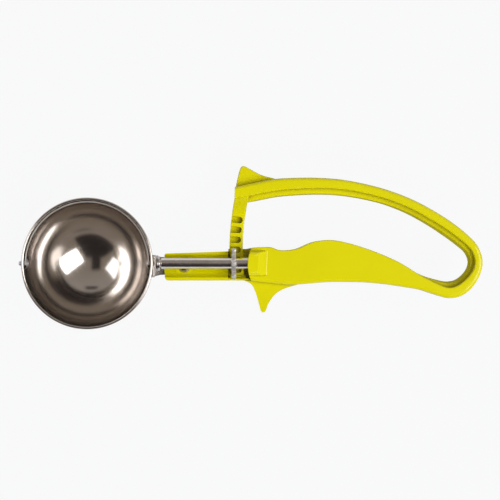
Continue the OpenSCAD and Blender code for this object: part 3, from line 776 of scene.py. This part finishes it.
# The shaft's neck, the bores that it turns in, and the gap between two pieces that touch
NECK, BORE, TOUCH = 1.5, 1.55, 0.02
BUSH_R, FLANGE_R, FLANGE_T = 2.55, 3.4, 0.9
FLANGE_X = SADDLE_OUT + FLANGE_T
WASHER_X, WASHER_R, WASHER_T = FLANGE_X + 0.08, 3.1, 0.6
SHOULDER_X = WASHER_X + 0.9
SHAFT_R, SHAFT_END, SHAFT_EASE = 2.3, 73.3, 0.4
BLADE_IN, BLADE_OUT = 25.8, 26.4
BUTTON_R, PIN_R, PIN_HEAD_R = 2.4, 1.05, 2.1

BUSH_X, BUSH_SEAT = BOWL_R + 0.12, SADDLE_OUT + TOUCH
turned("neck_bush_turned", [(BUSH_X, BORE), (BUSH_X, BUSH_R), (BUSH_SEAT, BUSH_R),
                            (BUSH_SEAT, FLANGE_R), (FLANGE_X, FLANGE_R), (FLANGE_X, BORE),
                            (BUSH_X, BORE)],
       STRAP_STEEL, "handle", "neck_bush")
turned("thrust_ring", ring(WASHER_X, WASHER_X + WASHER_T, BORE, WASHER_R),
       SHAFT_STEEL, "handle", "thrust_washer", edge=0.15)

# The shaft's button is riveted over inside the blade's eye.
SEAT_X = math.sqrt(BLADE_IN ** 2 - BUTTON_R ** 2) - TOUCH
BUTTON = [(SEAT_X - 0.8, 0), (SEAT_X - 0.77, 0.9), (SEAT_X - 0.66, 1.6), (SEAT_X - 0.42, 2.15),
          (SEAT_X - 0.2, 2.38), (SEAT_X, BUTTON_R)]
turned("drive_rod", BUTTON + [
    (SEAT_X, NECK), (SHOULDER_X, NECK), (SHOULDER_X, SHAFT_R - SHAFT_EASE),
    (SHOULDER_X + SHAFT_EASE, SHAFT_R), (SHAFT_END - SHAFT_EASE, SHAFT_R),
    (SHAFT_END, SHAFT_R - SHAFT_EASE), (SHAFT_END, 0)],
       SHAFT_STEEL, "sweep", "drive_shaft")

HEAD_X = TOUCH - math.sqrt(BLADE_IN ** 2 - PIN_HEAD_R ** 2)
TAIL_X = -BOWL_OUT - 1.8
turned("front_pin", [(TAIL_X, 0), (TAIL_X + 0.08, 0.5), (TAIL_X + 0.3, 0.85),
                     (TAIL_X + 0.7, PIN_R), (HEAD_X, PIN_R)] + dome(HEAD_X, PIN_HEAD_R, 0.8),
       RIVET_STEEL, "sweep", "pivot_pin")

RIVET_R, RIVET_HEAD_R, RIVET_TAIL_R = 1.5, 2.9, 2.1
BOSS_TOP, BURR_Z, BURR_T, BURR_R = -4.6, -12.32, 0.7, 3
HEAD_Z, TAIL_Z = BOSS_TOP + TOUCH, BURR_Z - TOUCH
turned("rivet_turned", dome(TAIL_Z, RIVET_TAIL_R, -0.5)[::-1]
       + [(TAIL_Z, RIVET_R), (HEAD_Z, RIVET_R)] + dome(HEAD_Z, RIVET_HEAD_R, 1.4),
       RIVET_STEEL, "handle", "cradle_rivet", "Z", RIVET_FOOT)
turned("burr_ring", ring(BURR_Z, BURR_Z + BURR_T, RIVET_HOLE_R, BURR_R),
       RIVET_STEEL, "handle", "burr_washer", "Z", RIVET_FOOT)


# ---------------------------------------------------------------- pinion and blade

pinion = cad_copy("pinion")
round_off(pinion, sharp_edges(pinion, 50), radius=0.2)
add_piece("pinion_cut", pinion, PINION_STEEL, "sweep", ["pinion"])

BLADE_HALF, BLADE_LEAN = 3.0, math.radians(-5)
# Past this height over its middle, the strip's skin is its cut edge.
CUT_EDGE = 2.7
PIN_EYE_R, NECK_EYE_R = 1.07, 1.52
# Angles of the sections round an eye's end, sections between the eyes, columns across
EYE_ANGLES, BLADE_STEPS, BLADE_COLUMNS = (4, 12, 24, 38, 54, 72, 90), 44, 6


def build_blade():
    """A strip of a ball's skin, with a round eye at each end, standing just below the rim."""
    heights = [-BLADE_HALF * math.cos(math.radians(a)) for a in EYE_ANGLES]
    eye = [(y, math.sqrt(BLADE_HALF ** 2 - y ** 2)) for y in heights]
    # Each row: the angle round the bowl, the height in the eye or None, and half the width
    rows = [(180.0, y, w) for y, w in eye] \
        + [(180 - 180 * i / BLADE_STEPS, None, BLADE_HALF) for i in range(1, BLADE_STEPS)] \
        + [(0.0, y, w) for y, w in eye[::-1]]
    tilt = Matrix.Rotation(BLADE_LEAN, 3, "X")

    def strip(row, corner):
        angle, y, width = rows[row]
        outer, column = faces_round(corner, BLADE_COLUMNS)
        z = width * (2 * column / BLADE_COLUMNS - 1)
        flat = math.sqrt(BLADE_OUT ** 2 - z ** 2)
        turn = math.radians(angle)
        point = Vector((flat * math.cos(turn), flat * math.sin(turn), z))
        if y is not None:
            point = Vector((math.copysign(math.sqrt(flat ** 2 - y ** 2), point.x), y, z))
        if not outer:
            point *= BLADE_IN / BLADE_OUT
        return at(*(tilt @ point))
    bm = bmesh.new()
    loft(bm, len(rows), strip, 2 * (BLADE_COLUMNS + 1))
    close(bm)
    round_off(bm, sharp_edges(bm, 50), radius=0.18)
    bm = cut(bm, [drill(-BOWL_R, 0, PIN_EYE_R), drill(0, BOWL_R, NECK_EYE_R)])
    upward = tilt @ Vector((0, 0, 1))
    for face in bm.faces:
        height = (face.calc_center_median() - BOWL_CENTRE).dot(upward)
        cut_edge = abs(face.normal.dot(upward)) > 0.5 and abs(height) > CUT_EDGE * MM
        face.material_index = 1 if cut_edge else 0
    return bm


blade = add_piece("sweep_strip", build_blade(), BLADE_STEEL, "sweep",
                  ["sweep_blade"])
blade.data.materials.append(CUT_STEEL)

for node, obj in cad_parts.items():
    obj.data.materials.clear()
    obj.data.materials.append(FINISH[node])


# ---------------------------------------------------------------- studio

# How white the floor is to the camera, and in polished and clear pieces
SEEN_WHITE = {"Is Camera Ray": 0.93, "Is Glossy Ray": 0.5, "Is Transmission Ray": 0.9}
# Tones of the room on the grip's side, on the arm's side, of its dark things and low down
GRIP_SIDE, ARM_SIDE = (0.21, 0.175, 0.14, 1), (0.29, 0.26, 0.235, 1)
BLACK_CLOTH, PALE_WALL = (0.025, 0.02, 0.02, 1), (0.9, 0.9, 0.9, 1)


def floor():
    """The table: lit grey that keeps the shadow, under a glow for the rays that see it."""
    bm = bmesh.new()
    bmesh.ops.create_grid(bm, x_segments=1, y_segments=1, size=3.0)
    mesh = bpy.data.meshes.new("table")
    bm.to_mesh(mesh)
    bm.free()
    table = bpy.data.objects.new("table", mesh)
    bpy.context.scene.collection.objects.link(table)
    material = bpy.data.materials.new("table_white")
    material.use_nodes = True
    tree = material.node_tree
    shader = tree.nodes["Principled BSDF"]
    shader.inputs["Base Color"].default_value = (0.3, 0.3, 0.3, 1)
    shader.inputs["Roughness"].default_value = 0.6
    glow = tree.nodes.new("ShaderNodeEmission")
    glow.inputs["Color"].default_value = (0.99, 0.995, 0.995, 1)
    path = tree.nodes.new("ShaderNodeLightPath")
    seen = 0.0
    for ray, share in SEEN_WHITE.items():
        seen = maths(tree, "MULTIPLY_ADD", path.outputs[ray], share, seen)
        seen.node.use_clamp = True
    both = tree.nodes.new("ShaderNodeMixShader")
    tree.links.new(seen, both.inputs["Fac"])
    tree.links.new(shader.outputs["BSDF"], both.inputs[1])
    tree.links.new(glow.outputs["Emission"], both.inputs[2])
    tree.links.new(both.outputs["Shader"], tree.nodes["Material Output"].inputs["Surface"])
    mesh.materials.append(material)


def softbox(name, polar, azimuth, size_x, size_y, power, roll, distance=3.0):
    """A lamp aimed at the bowl: polar angle from straight up, azimuth from the X axis."""
    light = bpy.data.lights.new(name, "AREA")
    light.shape = "RECTANGLE"
    light.size = size_x
    light.size_y = size_y
    light.energy = power
    lamp = bpy.data.objects.new(name, light)
    bpy.context.scene.collection.objects.link(lamp)
    tilt, turn = math.radians(polar), math.radians(azimuth)
    lamp.location = BOWL_CENTRE + distance * Vector((
        math.sin(tilt) * math.cos(turn), math.sin(tilt) * math.sin(turn), math.cos(tilt)))
    facing = (BOWL_CENTRE - lamp.location).to_track_quat("-Z", "Y").to_matrix()
    lamp.rotation_euler = (facing @ Matrix.Rotation(math.radians(roll), 3, "Z")).to_euler()
    return lamp


def studio_walls():
    """The room that polished steel shows: dim above, a dark stand and boom, a pale horizon."""
    world = bpy.data.worlds.new("studio")
    bpy.context.scene.world = world
    world.use_nodes = True
    tree = world.node_tree
    coords = tree.nodes.new("ShaderNodeTexCoord")
    split = tree.nodes.new("ShaderNodeSeparateXYZ")
    tree.links.new(coords.outputs["Generated"], split.inputs["Vector"])
    # Directions are read where they pass a plane one unit above the object.
    least_height = 0.05
    height = maths(tree, "MAXIMUM", split.outputs["Z"], least_height)
    across = maths(tree, "DIVIDE", split.outputs["X"], height)
    along = maths(tree, "DIVIDE", split.outputs["Y"], height)

    def above(value, limit, soft):
        return ramp(tree, value, limit - soft, limit + soft, smooth=True)

    def below(value, limit, soft):
        return maths(tree, "SUBTRACT", 1.0, above(value, limit, soft))

    def window(value, low, high, soft):
        return maths(tree, "MULTIPLY", above(value, low, soft), below(value, high, soft))

    # The stand widens away from the camera like a tent, between two slanting sides.
    left_slant, right_slant = -0.577, 1.57
    left = maths(tree, "SUBTRACT", across, maths(tree, "MULTIPLY", along, left_slant))
    right = maths(tree, "SUBTRACT", maths(tree, "MULTIPLY", along, right_slant), across)
    tent = maths(tree, "MULTIPLY", below(left, limit=0.055, soft=0.09),
                 below(right, limit=0.13, soft=0.14))
    stand = maths(tree, "MULTIPLY", tent, below(along, limit=-0.17, soft=0.12))
    # The boom holds the camera over the object, and a small dark thing stands beyond it.
    boom = maths(tree, "MULTIPLY", window(across, low=-0.33, high=-0.02, soft=0.05),
                 window(along, low=-0.4, high=0.23, soft=0.09))
    beyond = maths(tree, "MULTIPLY", window(across, low=-0.34, high=0.2, soft=0.1),
                   window(along, low=0.97, high=1.2, soft=0.05))
    beyond = maths(tree, "MULTIPLY", beyond, 0.95)
    dark = maths(tree, "MAXIMUM", stand, maths(tree, "MAXIMUM", boom, beyond))
    room = mixed(tree, ramp(tree, along, low=-0.3, high=1.2, smooth=True), GRIP_SIDE, ARM_SIDE)
    room = mixed(tree, dark, room, BLACK_CLOTH)
    horizon = ramp(tree, split.outputs["Z"], low=0.1, high=0.22, smooth=True)
    tree.links.new(mixed(tree, horizon, PALE_WALL, room),
                   tree.nodes["Background"].inputs["Color"])


def overhead_camera(place, height, width):
    """A camera at a place in the row frame, whose view is this wide this far below it."""
    sensor = 36
    data = bpy.data.cameras.new("camera")
    camera = bpy.data.objects.new("camera", data)
    bpy.context.scene.collection.objects.link(camera)
    camera.location = [c * MM for c in place]
    data.sensor_width = sensor
    data.lens = sensor * height / width
    data.clip_start = 0.01
    bpy.context.scene.camera = camera


floor()
softbox("softbox_right", polar=38.4, azimuth=-6, size_x=1.56, size_y=2.27, power=45, roll=39)
softbox("softbox_left", polar=48.8, azimuth=167.5, size_x=1.75, size_y=1.4, power=13, roll=60)
# Seen by no polished face: this one only lightens the handle.
soft = softbox("softbox_soft", polar=38, azimuth=-60, size_x=1.5, size_y=1.5, power=44, roll=0)
soft.visible_glossy = False
studio_walls()
overhead_camera(place=(-0.25, -1.08, 677.4), height=650, width=211.55)
bpy.context.scene.view_settings.view_transform = "Standard"
